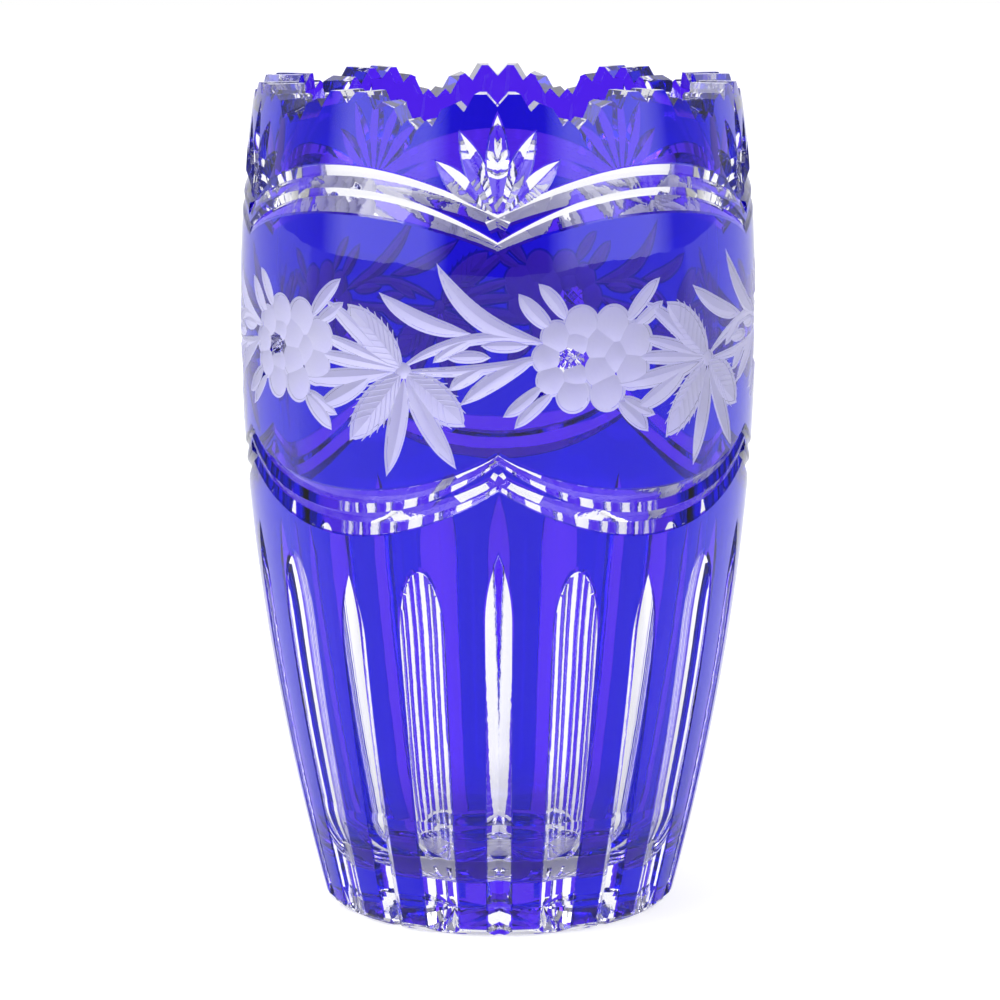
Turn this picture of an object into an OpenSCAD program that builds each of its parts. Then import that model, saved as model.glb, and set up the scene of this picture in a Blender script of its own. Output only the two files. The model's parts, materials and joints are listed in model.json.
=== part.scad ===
// Cut-to-clear crystal vase: a thick clear crystal body with a thin cobalt casing,
// wheel-cut with a toothed rim, five fans, five double swags above and below a
// flower garland, twenty tapering flutes and a star in the foot.
// Millimetres. Z up, foot on z = 0, front cusp of the swags towards -Y.

/* [Body] */
// overall height
height = 250; // [150:1:400]
// outer radius where the foot meets the table
foot_radius = 53.4; // [30:0.1:100]
// largest outer radius
belly_radius = 77.6; // [50:0.1:130]
// height of the largest radius
belly_height = 172; // [80:1:300]
// outer radius at the rim
rim_radius = 72; // [40:0.1:120]
// how fast the side swells above the foot
lower_curve = 1.85; // [1:0.05:3]
// how late the side draws in below the rim
upper_curve = 2.3; // [1:0.05:4]
// wall of the finished vase, casing included
wall = 11; // [5:0.5:20]
// thickness of the foot under the inner floor
floor_thickness = 15; // [6:0.5:30]
// radius where the inner wall turns into the floor
floor_round = 20; // [4:1:40]
// bevel of the foot edge
foot_bevel = 1.6; // [0.5:0.1:4]

/* [Cobalt casing] */
// thickness of the cobalt layer, measured level
casing = 0.6; // [0.3:0.05:2]
// height where the casing starts above the table
casing_start = 2.2; // [0.5:0.1:10]

/* [Panels] */
// repeats of the pattern around the vase
panels = 5; // [3:1:10]

/* [Toothed rim] */
// scallops for each panel
scallops_per_panel = 2; // [1:1:4]
// depth of the notch on top of each scallop
peak_notch = 3.4; // [1:0.1:8]
// depth of the notches beside it
side_notch = 4.8; // [1:0.1:10]
// depth of the valley between scallops
valley_depth = 10.1; // [3:0.1:20]

/* [Swags] */
// depth of the swag grooves at the middle of a panel
swag_depth = 2.5; // [1:0.1:5]
// half angle of the grinding wheel for swags
swag_half_angle = 56; // [30:1:75]
// height of the upper pair's ridge at the middle of a panel
upper_swag_height = 223.3; // [100:0.1:300]
// height of the lower pair's ridge at the middle of a panel
lower_swag_height = 129.4; // [50:0.1:250]
// spacing of the two grooves in a pair
swag_spacing = 5.7; // [3:0.1:12]
// half the angle a blue lozenge at a cusp takes up
lozenge_angle = 3.2; // [1:0.1:6]

/* [Fans] */
// blades in each fan
fan_blades = 5; // [3:2:9]
// angle between neighbouring blades
fan_step = 24.5; // [5:0.5:40]
// height where the blades spring from
fan_foot = 214.5; // [100:0.5:300]
// length of the middle blade
fan_length = 29.5; // [10:0.5:60]
// how much shorter each next blade is
fan_shortening = 3.4; // [0:0.1:10]
// depth of a fan blade
fan_depth = 2.2; // [1:0.1:4]

/* [Flutes] */
// depth of the narrow flutes
narrow_depth = 2.5; // [1:0.1:5]
// half angle of the narrow flutes' wheel
narrow_half_angle = 61; // [30:1:75]
// top of the narrow flutes under the cusps
narrow_top_cusp = 120.7; // [60:0.1:200]
// top of the narrow flutes at the middle of the panels
narrow_top_mid = 112; // [60:0.1:200]
// rim radius of the wide flutes' wheel
wide_round = 14; // [8:0.5:30]
// depth of the wide flutes at their widest
wide_depth = 2.4; // [1:0.1:5]
// depth of the wide flutes at the foot
wide_depth_foot = 1.4; // [0.5:0.1:4]
// top of the wide flutes
wide_top = 115.5; // [60:0.1:200]
// length of the rounded run-out at a flute's top
run_out = 22; // [8:1:40]
// how much deeper a wide flute is ground where it starts to run out
run_out_bite = 0.3; // [0.1:0.1:0.8]

/* [Garland] */
// height of the flower's centre
flower_height = 175.3; // [100:0.1:250]
// angle of the flower from the cusp
flower_angle = 20.6; // [0:0.1:40]
// height of the leaf node
leaf_height = 172.2; // [100:0.1:250]
// angle of the leaf node from the cusp
leaf_angle = -20.3; // [-40:0.1:0]
// radius of a petal
petal_radius = 4.5; // [2:0.1:8]

/* [Foot star] */
// rays in the star under the foot
star_rays = 20; // [6:1:32]
// radius of the hollow under the foot
kick_radius = 43; // [10:0.5:60]
// depth of the hollow under the foot
kick_depth = 2; // [0.5:0.1:5]
// depth of the star's rays
star_depth = 2.4; // [0.5:0.1:5]

/* [Hidden] */
panel_angle = 360 / panels;
half_panel = panel_angle / 2;
scallop_angle = panel_angle / scallops_per_panel;
side_steps = 20;
round_steps = 6;
leaf_steps = 6;
$fn = 240;
clear_colour = [0.86, 0.90, 0.96, 0.35];
cobalt_colour = [0.16, 0.10, 0.85, 0.75];

// outer radius at height z
function outer_r(z) = z < belly_height
    ? belly_radius - (belly_radius - foot_radius) * pow(1 - z / belly_height, lower_curve)
    : belly_radius - (belly_radius - rim_radius)
        * pow((z - belly_height) / (height - belly_height), upper_curve);

// slope of the outer profile at height z
function outer_slope(z) = (outer_r(z + 1) - outer_r(z - 1)) / 2;

// centre of the circle through three points, as [x, y]
function circle_centre(a, b, c) =
    let (d = 2 * (a[0] * (b[1] - c[1]) + b[0] * (c[1] - a[1]) + c[0] * (a[1] - b[1])))
    let (a2 = a[0] * a[0] + a[1] * a[1])
    let (b2 = b[0] * b[0] + b[1] * b[1])
    let (c2 = c[0] * c[0] + c[1] * c[1])
    [
        (a2 * (b[1] - c[1]) + b2 * (c[1] - a[1]) + c2 * (a[1] - b[1])) / d,
        (a2 * (c[0] - b[0]) + b2 * (a[0] - c[0]) + c2 * (b[0] - a[0])) / d
    ];

// turns something facing +X so that it faces angle a, measured from the front
module facing(a) {
    rotate([0, 0, a - 90]) children();
}

// ---------- blanks ----------

// heights of the profile's stations between two heights
function stations(z0, z1) = concat(
    [z0],
    [for (i = [0 : side_steps]) if (i * height / side_steps > z0 + 1
        && i * height / side_steps < z1 - 1) i * height / side_steps],
    [z1]
);

// solid of the outer profile, inset by a level amount
module side_solid(inset, z0, z1) {
    zs = stations(z0, z1);
    rotate_extrude()
        polygon(concat(
            [[0, z0]],
            [for (z = zs) [outer_r(z) - inset, z]],
            [[0, z1]]
        ));
}

// the clear gather, up to where the casing starts outside it
module clear_blank() {
    zs = stations(casing_start, height);
    rotate_extrude()
        polygon(concat(
            [[0, 0], [outer_r(0) - foot_bevel, 0], [outer_r(foot_bevel), foot_bevel]],
            [[outer_r(casing_start), casing_start]],
            [for (z = zs) [outer_r(z) - casing, z]],
            [[0, height]]
        ));
}

// the blown inside, open at the top
module cavity() {
    turn_z = floor_thickness + floor_round;
    turn_r = outer_r(turn_z) - wall;
    zs = stations(turn_z, height);
    rotate_extrude()
        polygon(concat(
            [[0, floor_thickness]],
            [for (i = [0 : round_steps])
                let (a = 90 * i / round_steps)
                [
                    turn_r - floor_round + floor_round * sin(a),
                    floor_thickness + floor_round - floor_round * cos(a)
                ]
            ],
            [for (z = zs) if (z > turn_z + 1) [outer_r(z) - wall, z]],
            [[outer_r(height) - wall, height + 5], [0, height + 5]]
        ));
}

// the whole casing before cutting, between two heights
module casing_ring(z0, z1) {
    zs = stations(z0, z1);
    rotate_extrude()
        polygon(concat(
            [for (z = zs) [outer_r(z), z]],
            [for (i = [len(zs) - 1 : -1 : 0]) [outer_r(zs[i]) - casing, zs[i]]]
        ));
}

// ---------- rim ----------

// one notch ground straight across the rim at angle a; points are [degrees, height]
module rim_notch(a, points) {
    k = rim_radius * PI / 180;
    facing(a)
        translate([rim_radius - wall - 8, 0, height])
        rotate([90, 0, 90])
        linear_extrude(wall + 16)
        polygon([for (p = points) [p[0] * k, p[1]]]);
}

// the small notch on top of every scallop
module rim_peak_notches() {
    for (i = [0 : panels * scallops_per_panel - 1])
        rim_notch(i * scallop_angle, [[-3.8, 2], [0, -peak_notch], [3.8, 2]]);
}

// the notch and sloped tooth on one side of every scallop's top
module rim_side_notches(side) {
    for (i = [0 : panels * scallops_per_panel - 1])
        rim_notch(i * scallop_angle + side * 7.4, [
            [-side * 3.2, 2],
            [0, -side_notch],
            [side * 1.9, -2.5],
            [side * 5.2, -4.2],
            [side * 5.6, 2]
        ]);
}

// the toothed valley between every two scallops
module rim_valleys() {
    for (i = [0 : panels * scallops_per_panel - 1])
        rim_notch((i + 0.5) * scallop_angle, [
            [-6.2, 2],
            [-5.7, -4.0],
            [-3.6, -9.0],
            [-2.2, -7.2],
            [0, -valley_depth],
            [2.2, -7.2],
            [3.6, -9.0],
            [5.7, -4.0],
            [6.2, 2]
        ]);
}

// ---------- swags ----------

// tangent of the tilt of the plane a swag groove lies in
function swag_tan(zm, dm, zc, dc) =
    (zm - zc) / ((outer_r(zm) - dm) - (outer_r(zc) - dc) * cos(half_panel));

// height where that plane crosses the vase's axis
function swag_axis_z(zm, dm, zc, dc) =
    zm - (outer_r(zm) - dm) * swag_tan(zm, dm, zc, dc);

// one V groove ground around a panel: height and depth at mid panel and at the cusps
module swag_groove(a, zm, dm, zc, dc, past) {
    tilt = atan(swag_tan(zm, dm, zc, dc));
    ua = (outer_r(zm) - dm) / cos(tilt);
    ub = (outer_r(zc) - dc) * cos(half_panel) / cos(tilt);
    vb = (outer_r(zc) - dc) * sin(half_panel);
    c = (ua * ua - ub * ub - vb * vb) / (2 * (ua - ub));
    rho = ua - c;
    sweep = atan2(vb, ub - c) + past;
    reach = 9;
    facing(a)
        translate([0, 0, swag_axis_z(zm, dm, zc, dc)])
        rotate([0, -tilt, 0])
        translate([c, 0, 0])
        rotate([0, 0, -sweep])
        rotate_extrude(angle = 2 * sweep)
        polygon([
            [rho, 0],
            [rho + reach * cos(-swag_half_angle - tilt), reach * sin(-swag_half_angle - tilt)],
            [rho + reach * cos(swag_half_angle - tilt), reach * sin(swag_half_angle - tilt)]
        ]);
}

upper_1 = [upper_swag_height + swag_spacing / 2, swag_depth, upper_swag_height - 7.6, 1.3];
upper_2 = [upper_swag_height - swag_spacing / 2, swag_depth, upper_swag_height - 15.0, 1.0];
lower_1 = [lower_swag_height + swag_spacing / 2, swag_depth, lower_swag_height + 17.4, 1.0];
lower_2 = [lower_swag_height - swag_spacing / 2, swag_depth, lower_swag_height + 10.3, 1.5];

// one groove of a pair, ground around every panel
module swag_ring(g, past) {
    for (i = [0 : panels - 1])
        swag_groove((i + 0.5) * panel_angle, g[0], g[1], g[2], g[3], past);
}

// everything above the planes of a set of swag grooves
module above_swag(g) {
    span = 2 * height;
    overlap = 0.8;
    tilt = atan(swag_tan(g[0], g[1], g[2], g[3]));
    for (i = [0 : panels - 1])
        facing((i + 0.5) * panel_angle)
            intersection() {
                rotate([0, 0, -half_panel - overlap])
                    rotate_extrude(angle = panel_angle + 2 * overlap)
                    polygon([[0, -20], [1.5 * belly_radius, -20],
                        [1.5 * belly_radius, height + 20], [0, height + 20]]);
                translate([0, 0, swag_axis_z(g[0], g[1], g[2], g[3])])
                    rotate([0, -tilt, 0])
                    translate([-span / 2, -span / 2, 0])
                    cube([span, span, span]);
            }
}

// ---------- fans ----------

// a V wheel plunged into the side at angle a and height z, leaning by tilt
module boat_cut(a, z, lean, length, depth, half_angle) {
    wheel = length * length / (8 * depth);
    rim = 5;
    half = atan((length / 2 + 2) / (wheel - depth));
    facing(a)
        translate([outer_r(z) - depth, 0, z])
        rotate([0, atan(outer_slope(z)), 0])
        rotate([-lean, 0, 0])
        translate([wheel, 0, 0])
        rotate([90, 0, 0])
        rotate([0, 0, 180 - half])
        rotate_extrude(angle = 2 * half)
        polygon([
            [wheel, 0],
            [wheel - rim, rim * tan(half_angle)],
            [wheel - rim, -rim * tan(half_angle)]
        ]);
}

// the same blade of every fan
module fan_blade(b) {
    step = b - (fan_blades - 1) / 2;
    lean = step * fan_step;
    long = fan_length - abs(step) * fan_shortening;
    mid_z = fan_foot + long / 2 * cos(lean);
    mid_x = long / 2 * sin(lean);
    for (i = [0 : panels - 1])
        boat_cut(
            i * panel_angle + atan(mid_x / outer_r(mid_z)),
            mid_z, lean, long, fan_depth, 56
        );
}

// ---------- flutes ----------

// the run of a flute from below the foot up to z0, as a ring section
module flute_ring(a, z0, depth, foot_depth, narrow) {
    pa = [outer_r(-3) - foot_depth, -3];
    pm = [outer_r(z0 / 2) - (depth + foot_depth) / 2, z0 / 2];
    pb = [outer_r(z0) - depth, z0];
    c = circle_centre(pa, pm, pb);
    rho = norm(pb - c);
    low = atan2(pa[1] - c[1], pa[0] - c[0]);
    high = atan2(pb[1] - c[1], pb[0] - c[0]);
    reach = 9;
    facing(a)
        translate([c[0], 0, c[1]])
        rotate([0, -low, 0])
        rotate([90, 0, 0])
        rotate_extrude(angle = high - low, $fn = 540)
        if (narrow)
            polygon([
                [rho, 0],
                [rho + reach, reach * tan(narrow_half_angle)],
                [rho + reach, -reach * tan(narrow_half_angle)]
            ]);
        else
            translate([rho + wide_round, 0]) circle(r = wide_round, $fn = 48);
}

// the wheel's own curve where a flute runs out at its top
module flute_wheel(a, z0, ztop, depth, narrow) {
    s = outer_slope(z0);
    q = sqrt(1 + s * s);
    bite = narrow ? 0 : run_out_bite;
    dr = outer_r(ztop) - outer_r(z0) + depth + bite;
    dz = ztop - z0;
    along = (s * dr + dz) / q;
    out = (dr - s * dz) / q;
    wheel = (along * along + out * out) / (2 * out);
    rim = 8;
    sweep = asin(along / wheel) + 2;
    past = narrow ? 2 : 8;
    facing(a)
        translate([outer_r(z0) - depth - bite + wheel / q, 0, z0 - wheel * s / q])
        rotate([90, 0, 0])
        rotate([0, 0, 180 - sweep - atan(s)])
        rotate_extrude(angle = sweep + past, $fn = 240)
        if (narrow)
            polygon([
                [wheel, 0],
                [wheel - rim, rim * tan(narrow_half_angle)],
                [wheel - rim, -rim * tan(narrow_half_angle)]
            ]);
        else
            translate([wheel - wide_round, 0]) circle(r = wide_round, $fn = 48);
}

// top of narrow flute n, which stands under a cusp or at the middle of a panel
function narrow_top(n) = n % 2 == 0 ? narrow_top_cusp : narrow_top_mid;

module narrow_runs() {
    for (n = [0 : 2 * panels - 1])
        flute_ring(n * half_panel, narrow_top(n) - run_out, narrow_depth, narrow_depth, true);
}

module narrow_tops() {
    for (n = [0 : 2 * panels - 1])
        flute_wheel(n * half_panel, narrow_top(n) - run_out, narrow_top(n), narrow_depth, true);
}

module wide_runs() {
    for (n = [0 : 2 * panels - 1])
        flute_ring((n + 0.5) * half_panel, wide_top - run_out, wide_depth, wide_depth_foot, false);
}

module wide_tops() {
    for (n = [0 : 2 * panels - 1])
        flute_wheel((n + 0.5) * half_panel, wide_top - run_out, wide_top, wide_depth, false);
}

// depth of a flute at height z
function flute_depth(z, top, depth, foot_depth) =
    z < top - run_out
        ? foot_depth + (depth - foot_depth) * (z + 3) / (top - run_out + 3)
        : depth * (1 - pow((z - top + run_out) / run_out, 2));

// half the width that a flute of that depth opens in the casing
function flute_half(d, narrow) =
    narrow ? d * tan(narrow_half_angle) : sqrt(max(0, d * (2 * wide_round - d)));

// the opening that a flute leaves in the thin casing
module flute_opening(a, top, depth, foot_depth, narrow) {
    z0 = top - run_out;
    zs = concat([-3, z0 / 2], [for (i = [0 : 6]) z0 + run_out * sin(15 * i)]);
    side = [for (z = zs) flute_half(flute_depth(z, top, depth, foot_depth), narrow)];
    facing(a)
        translate([foot_radius - 8, 0, 0])
        rotate([90, 0, 90])
        linear_extrude(belly_radius - foot_radius + 16)
        polygon(concat(
            [for (i = [0 : len(zs) - 2]) [side[i], zs[i]]],
            [[0, top]],
            [for (i = [len(zs) - 2 : -1 : 0]) [-side[i], zs[i]]]
        ));
}

module narrow_openings() {
    for (n = [0 : 2 * panels - 1])
        flute_opening(n * half_panel, narrow_top(n), narrow_depth, narrow_depth, true);
}

module wide_openings() {
    for (n = [0 : 2 * panels - 1])
        flute_opening((n + 0.5) * half_panel, wide_top, wide_depth, wide_depth_foot, false);
}

// ---------- foot ----------

// the shallow hollow under the foot
module foot_kick() {
    kick = (kick_radius * kick_radius + kick_depth * kick_depth) / (2 * kick_depth);
    translate([0, 0, kick_depth - kick]) sphere(r = kick);
}

// one V cut across the whole foot, which makes two rays of the star
module star_cut(n) {
    facing(n * 360 / star_rays)
        translate([1 - kick_radius, 0, kick_depth + star_depth])
        rotate([90, 0, 90])
        linear_extrude(2 * kick_radius - 2)
        polygon([[0, 0], [2.6, -5], [-2.6, -5]]);
}

// ---------- cutting ----------

FAN_KIND = 4;
SWAG_KIND = FAN_KIND + fan_blades;
FLUTE_KIND = SWAG_KIND + 4;
FOOT_KIND = FLUTE_KIND + 4;
LAST_KIND = FOOT_KIND + star_rays / 2;

// every cut of one kind, right round the vase
module cuts_of_kind(k) {
    if (k == 0) rim_peak_notches();
    else if (k == 1) rim_side_notches(1);
    else if (k == 2) rim_side_notches(-1);
    else if (k == 3) rim_valleys();
    else if (k < SWAG_KIND) fan_blade(k - FAN_KIND);
    else if (k == SWAG_KIND) swag_ring(upper_1, 3);
    else if (k == SWAG_KIND + 1) swag_ring(upper_2, 1);
    else if (k == SWAG_KIND + 2) swag_ring(lower_1, 1);
    else if (k == SWAG_KIND + 3) swag_ring(lower_2, 3);
    else if (k == FLUTE_KIND) narrow_runs();
    else if (k == FLUTE_KIND + 1) narrow_tops();
    else if (k == FLUTE_KIND + 2) wide_runs();
    else if (k == FLUTE_KIND + 3) wide_tops();
    else if (k == FOOT_KIND) foot_kick();
    else star_cut(k - FOOT_KIND - 1);
}

// works the children with the kinds of cut from first to last, one kind after another
module worked(first, last) {
    if (last < first) children();
    else
        difference() {
            worked(first, last - 1) children();
            cuts_of_kind(last);
        }
}

// ---------- garland ----------

// a leaf outline from p to q in the plane: full width w, mid line bowed by bow
module leaf_outline(p, q, w, bow) {
    along = q - p;
    across = [-along[1], along[0]] / norm(along);
    polygon(concat(
        [for (n = [0 : leaf_steps])
            let (t = n / leaf_steps)
            p + t * along + (bow + w / 2) * (1 - pow(2 * t - 1, 2)) * across
        ],
        [for (n = [leaf_steps - 1 : -1 : 1])
            let (t = n / leaf_steps)
            p + t * along + (bow - w / 2) * (1 - pow(2 * t - 1, 2)) * across
        ]
    ));
}

// places a flat outline on the side at angle a and height z and cuts it inwards
module engrave(a, z) {
    facing(a)
        translate([belly_radius - 6, 0, z])
        rotate([90, 0, 90])
        linear_extrude(12)
        children();
}

// a leaf between two places given as [angle from the cusp, height]
module leaf(i, p, q, w, bow) {
    mid_a = (p[0] + q[0]) / 2;
    mid_z = (p[1] + q[1]) / 2;
    k = belly_radius * PI / 180;
    engrave(i * panel_angle + mid_a, mid_z)
        leaf_outline(
            [(p[0] - mid_a) * k, p[1] - mid_z],
            [(q[0] - mid_a) * k, q[1] - mid_z],
            w, bow
        );
}

// the small boss where a unit's leaves meet
module leaf_node(i) {
    engrave(i * panel_angle + leaf_angle, leaf_height)
        circle(r = 2.6, $fn = 12);
}

// the flower's outline, nine round petals side by side
module flower(i) {
    engrave(i * panel_angle + flower_angle, flower_height)
        polygon([for (p = [0 : 8], n = [-2 : 2])
            let (a = 20 + p * 40)
            let (c = 9.3 + 1.4 * cos(2 * a))
            [
                c * cos(a) + petal_radius * cos(a + n * 24),
                c * sin(a) + petal_radius * sin(a + n * 24)
            ]
        ]);
}

// leaves given as [start angle, start height, end angle, end height, width, bow]
LEAVES = [
    [11.8, 184.0, 4.3, 194.7, 3.9, 0.5],
    [14.8, 186.5, 8.5, 197.4, 3.2, -0.5],
    [27.8, 185.0, 36.7, 197.5, 3.2, 0.5],
    [29.6, 184.0, 37.4, 190.8, 3.0, -0.4],
    [26.9, 164.5, 35.5, 158.2, 3.0, -0.5],
    [25.6, 163.5, 33.8, 153.5, 4.2, 0.5],
    [9.8, 169.0, 1.0, 159.7, 3.2, 0.5],
    [12.0, 167.0, 3.4, 156.3, 3.0, -0.5],
    [10.4, 180.8, -12.9, 203.1, 4.4, 5.4],
    [-5.6, 183.5, -25.8, 194.3, 4.0, 2.4],
    [-13.7, 174.9, -4.6, 182.0, 2.8, 0.8],
    [-3.6, 180.0, 6.4, 180.0, 2.7, 0],
    [-10.9, 176.4, -1.5, 176.7, 2.4, 0.3],
    [-10.3, 167.1, -1.7, 174.4, 3.2, 0.6],
    [-8.0, 162.9, 8.6, 177.0, 4.0, 1.0],
    [-20.3, 172.2, -33.6, 190.4, 9.0, 0],
    [-20.3, 172.2, -33.4, 151.0, 8.6, 0],
    [-20.3, 172.2, -6.9, 156.9, 9.0, 0],
    [-20.0, 172.2, -24.6, 141.5, 5.0, 0.7],
    [-20.3, 172.2, -8.9, 144.6, 5.0, -0.9],
    [-23.0, 173.0, -39.6, 191.0, 3.8, -1.0],
    [-21.0, 172.4, -41.5, 181.0, 2.8, -0.6],
    [-22.0, 172.0, -48.1, 167.5, 4.2, 0.6],
    [-27.0, 171.2, -42.4, 159.7, 4.6, 0.8]
];

// stems that tie each leaf node to the flowers beside it, given like the leaves
STEM_OVER = [-21.5, 172.2, 13.0, 179.2, 2.0, 6.2];
STEM_UNDER = [-21.5, 172.2, 13.0, 177.4, 1.9, -1.6];
STEM_BACK = [-19.5, 172.3, -45.0, 175.4, 3.0, -0.4];
STEMS = [STEM_OVER, STEM_UNDER, STEM_BACK];

MARKS = concat(LEAVES, STEMS);

// mark m of the garland in unit i: the flower, the leaf node, then leaves and stems
module mark(m, i) {
    if (m == 0) flower(i);
    else if (m == 1) leaf_node(i);
    else {
        l = MARKS[m - 2];
        leaf(i, [l[0], l[1]], [l[2], l[3]], l[4], l[5]);
    }
}

// engraves the children with marks 0 to m in the units from first to last, mark by mark
module engraved(m, first, last) {
    if (m < 0) children();
    else
        difference() {
            engraved(m - 1, first, last) children();
            for (i = [first : last]) mark(m, i);
        }
}

// ---------- pieces ----------

module crystal_body() {
    color(clear_colour)
        worked(0, LAST_KIND)
        difference() {
            clear_blank();
            cavity();
        }
}

module cobalt_collar() {
    color(cobalt_colour)
        worked(0, SWAG_KIND)
        intersection() {
            casing_ring(upper_swag_height - 12, height);
            above_swag(upper_1);
        }
}

module cobalt_skirt() {
    color(cobalt_colour)
        difference() {
            worked(SWAG_KIND + 3, SWAG_KIND + 3)
                difference() {
                    casing_ring(casing_start, lower_swag_height + 14);
                    above_swag(lower_2);
                }
            narrow_openings();
            wide_openings();
        }
}

// the side above a stem's middle line, as far as the swags
module over_stem(i, s, ahead, behind) {
    mid_a = (s[0] + s[2]) / 2;
    mid_z = (s[1] + s[3]) / 2;
    k = belly_radius * PI / 180;
    p = [(s[0] - mid_a) * k, s[1] - mid_z];
    q = [(s[2] - mid_a) * k, s[3] - mid_z];
    along = (q - p) / norm(q - p);
    across = [-along[1], along[0]];
    engrave(i * panel_angle + mid_a, mid_z)
        polygon(concat(
            [p - ahead * along],
            [for (n = [0 : 12])
                let (t = n / 12)
                p + t * (q - p) + s[5] * (1 - pow(2 * t - 1, 2)) * across
            ],
            [q + behind * along],
            [[(q + behind * along)[0], 60]],
            [[(p - ahead * along)[0], 60]]
        ));
}

// everything above the line of stems right round the garland
module over_garland(stem) {
    for (i = [0 : panels - 1]) {
        over_stem(i, stem, 2, 2);
        over_stem(i, STEM_BACK, 2, 3);
        over_stem(i, [11.5, 177.4, 31.5, 175.5, 1, 0], 2, 2);
    }
}

module cobalt_band_upper() {
    color(cobalt_colour)
        engraved(len(MARKS) + 1, 0, panels - 1)
        worked(SWAG_KIND + 1, SWAG_KIND + 1)
        difference() {
            intersection() {
                casing_ring(leaf_height - 8, upper_swag_height + 2);
                over_garland(STEM_OVER);
            }
            above_swag(upper_2);
        }
}

module cobalt_band_lower() {
    color(cobalt_colour)
        engraved(len(MARKS) + 1, 0, panels - 1)
        worked(SWAG_KIND + 2, SWAG_KIND + 2)
        difference() {
            intersection() {
                casing_ring(lower_swag_height - 6, flower_height + 12);
                above_swag(lower_1);
            }
            over_garland(STEM_UNDER);
        }
}

// the small fields left between the two stems of one garland unit
module garland_islets(i) {
    color(cobalt_colour)
        engraved(len(MARKS) + 1, i, i)
        difference() {
            intersection() {
                facing(i * panel_angle + leaf_angle + 1)
                    rotate_extrude(angle = flower_angle - leaf_angle - 4)
                    polygon([
                        [outer_r(160) - casing, 160],
                        [outer_r(160), 160],
                        [outer_r(belly_height), belly_height],
                        [outer_r(190), 190],
                        [outer_r(190) - casing, 190],
                        [outer_r(belly_height) - casing, belly_height]
                    ]);
                over_stem(i, STEM_UNDER, 2, 2);
            }
            over_stem(i, STEM_OVER, 2, 2);
        }
}

// a short length of casing around the cusp at angle a
module casing_patch(a, z0, z1) {
    facing(a)
        rotate([0, 0, -lozenge_angle])
        rotate_extrude(angle = 2 * lozenge_angle)
        polygon([
            [outer_r(z0) - casing, z0],
            [outer_r(z0), z0],
            [outer_r(z1), z1],
            [outer_r(z1) - casing, z1]
        ]);
}

// the kite of casing left above a cusp of the upper swags
module upper_lozenge(i) {
    color(cobalt_colour)
        worked(SWAG_KIND, SWAG_KIND + 1)
        difference() {
            intersection() {
                casing_patch(i * panel_angle, upper_swag_height - 17, upper_swag_height - 4);
                above_swag(upper_2);
            }
            above_swag(upper_1);
        }
}

// the kite of casing left under a cusp of the lower swags
module lower_lozenge(i) {
    color(cobalt_colour)
        worked(SWAG_KIND + 2, SWAG_KIND + 3)
        difference() {
            intersection() {
                casing_patch(i * panel_angle, lower_swag_height + 6, lower_swag_height + 20);
                above_swag(lower_2);
            }
            above_swag(lower_1);
        }
}

crystal_body();
cobalt_collar();
cobalt_band_upper();
cobalt_band_lower();
garland_islets(0);  // garland_islets_1
garland_islets(1);  // garland_islets_2
garland_islets(2);  // garland_islets_3
garland_islets(3);  // garland_islets_4
garland_islets(4);  // garland_islets_5
cobalt_skirt();
upper_lozenge(0);  // upper_lozenge_1
upper_lozenge(1);  // upper_lozenge_2
upper_lozenge(2);  // upper_lozenge_3
upper_lozenge(3);  // upper_lozenge_4
upper_lozenge(4);  // upper_lozenge_5
lower_lozenge(0);  // lower_lozenge_1
lower_lozenge(1);  // lower_lozenge_2
lower_lozenge(2);  // lower_lozenge_3
lower_lozenge(3);  // lower_lozenge_4
lower_lozenge(4);  // lower_lozenge_5
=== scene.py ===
import json
import math

import bmesh
import bpy
import numpy as np
from mathutils import Matrix, Vector

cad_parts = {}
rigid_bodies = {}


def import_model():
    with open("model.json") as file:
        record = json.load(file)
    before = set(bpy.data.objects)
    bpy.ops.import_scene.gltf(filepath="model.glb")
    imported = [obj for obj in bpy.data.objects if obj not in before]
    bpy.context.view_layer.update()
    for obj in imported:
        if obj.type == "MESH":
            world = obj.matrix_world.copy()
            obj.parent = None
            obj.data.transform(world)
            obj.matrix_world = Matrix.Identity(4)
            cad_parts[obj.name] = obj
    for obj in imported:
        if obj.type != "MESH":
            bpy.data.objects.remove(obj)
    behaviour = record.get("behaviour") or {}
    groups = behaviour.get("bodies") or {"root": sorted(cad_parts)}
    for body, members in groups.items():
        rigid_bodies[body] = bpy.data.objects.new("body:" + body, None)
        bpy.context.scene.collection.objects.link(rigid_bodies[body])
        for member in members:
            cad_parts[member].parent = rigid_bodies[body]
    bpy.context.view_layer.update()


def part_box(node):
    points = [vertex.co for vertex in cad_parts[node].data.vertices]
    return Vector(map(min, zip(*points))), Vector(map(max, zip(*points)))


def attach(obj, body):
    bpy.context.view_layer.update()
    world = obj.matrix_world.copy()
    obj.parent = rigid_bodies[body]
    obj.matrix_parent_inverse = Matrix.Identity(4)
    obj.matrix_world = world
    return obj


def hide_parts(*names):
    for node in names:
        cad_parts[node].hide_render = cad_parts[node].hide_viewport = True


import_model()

body_lo, body_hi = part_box("crystal_body")

# ---------------------------------------------------------------- driving sizes
# The shapes are drawn for a vase 250 units high and scaled to the frame at the end. Lengths are
# in those units and angles are in degrees. Angle 0 is the front, and angles grow towards +X.
HEIGHT = 250.0
TALL = body_hi.z - body_lo.z                # the vase's height in metres
UNIT = TALL / HEIGHT                        # metres in one unit
D2R = math.pi / 180

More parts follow.
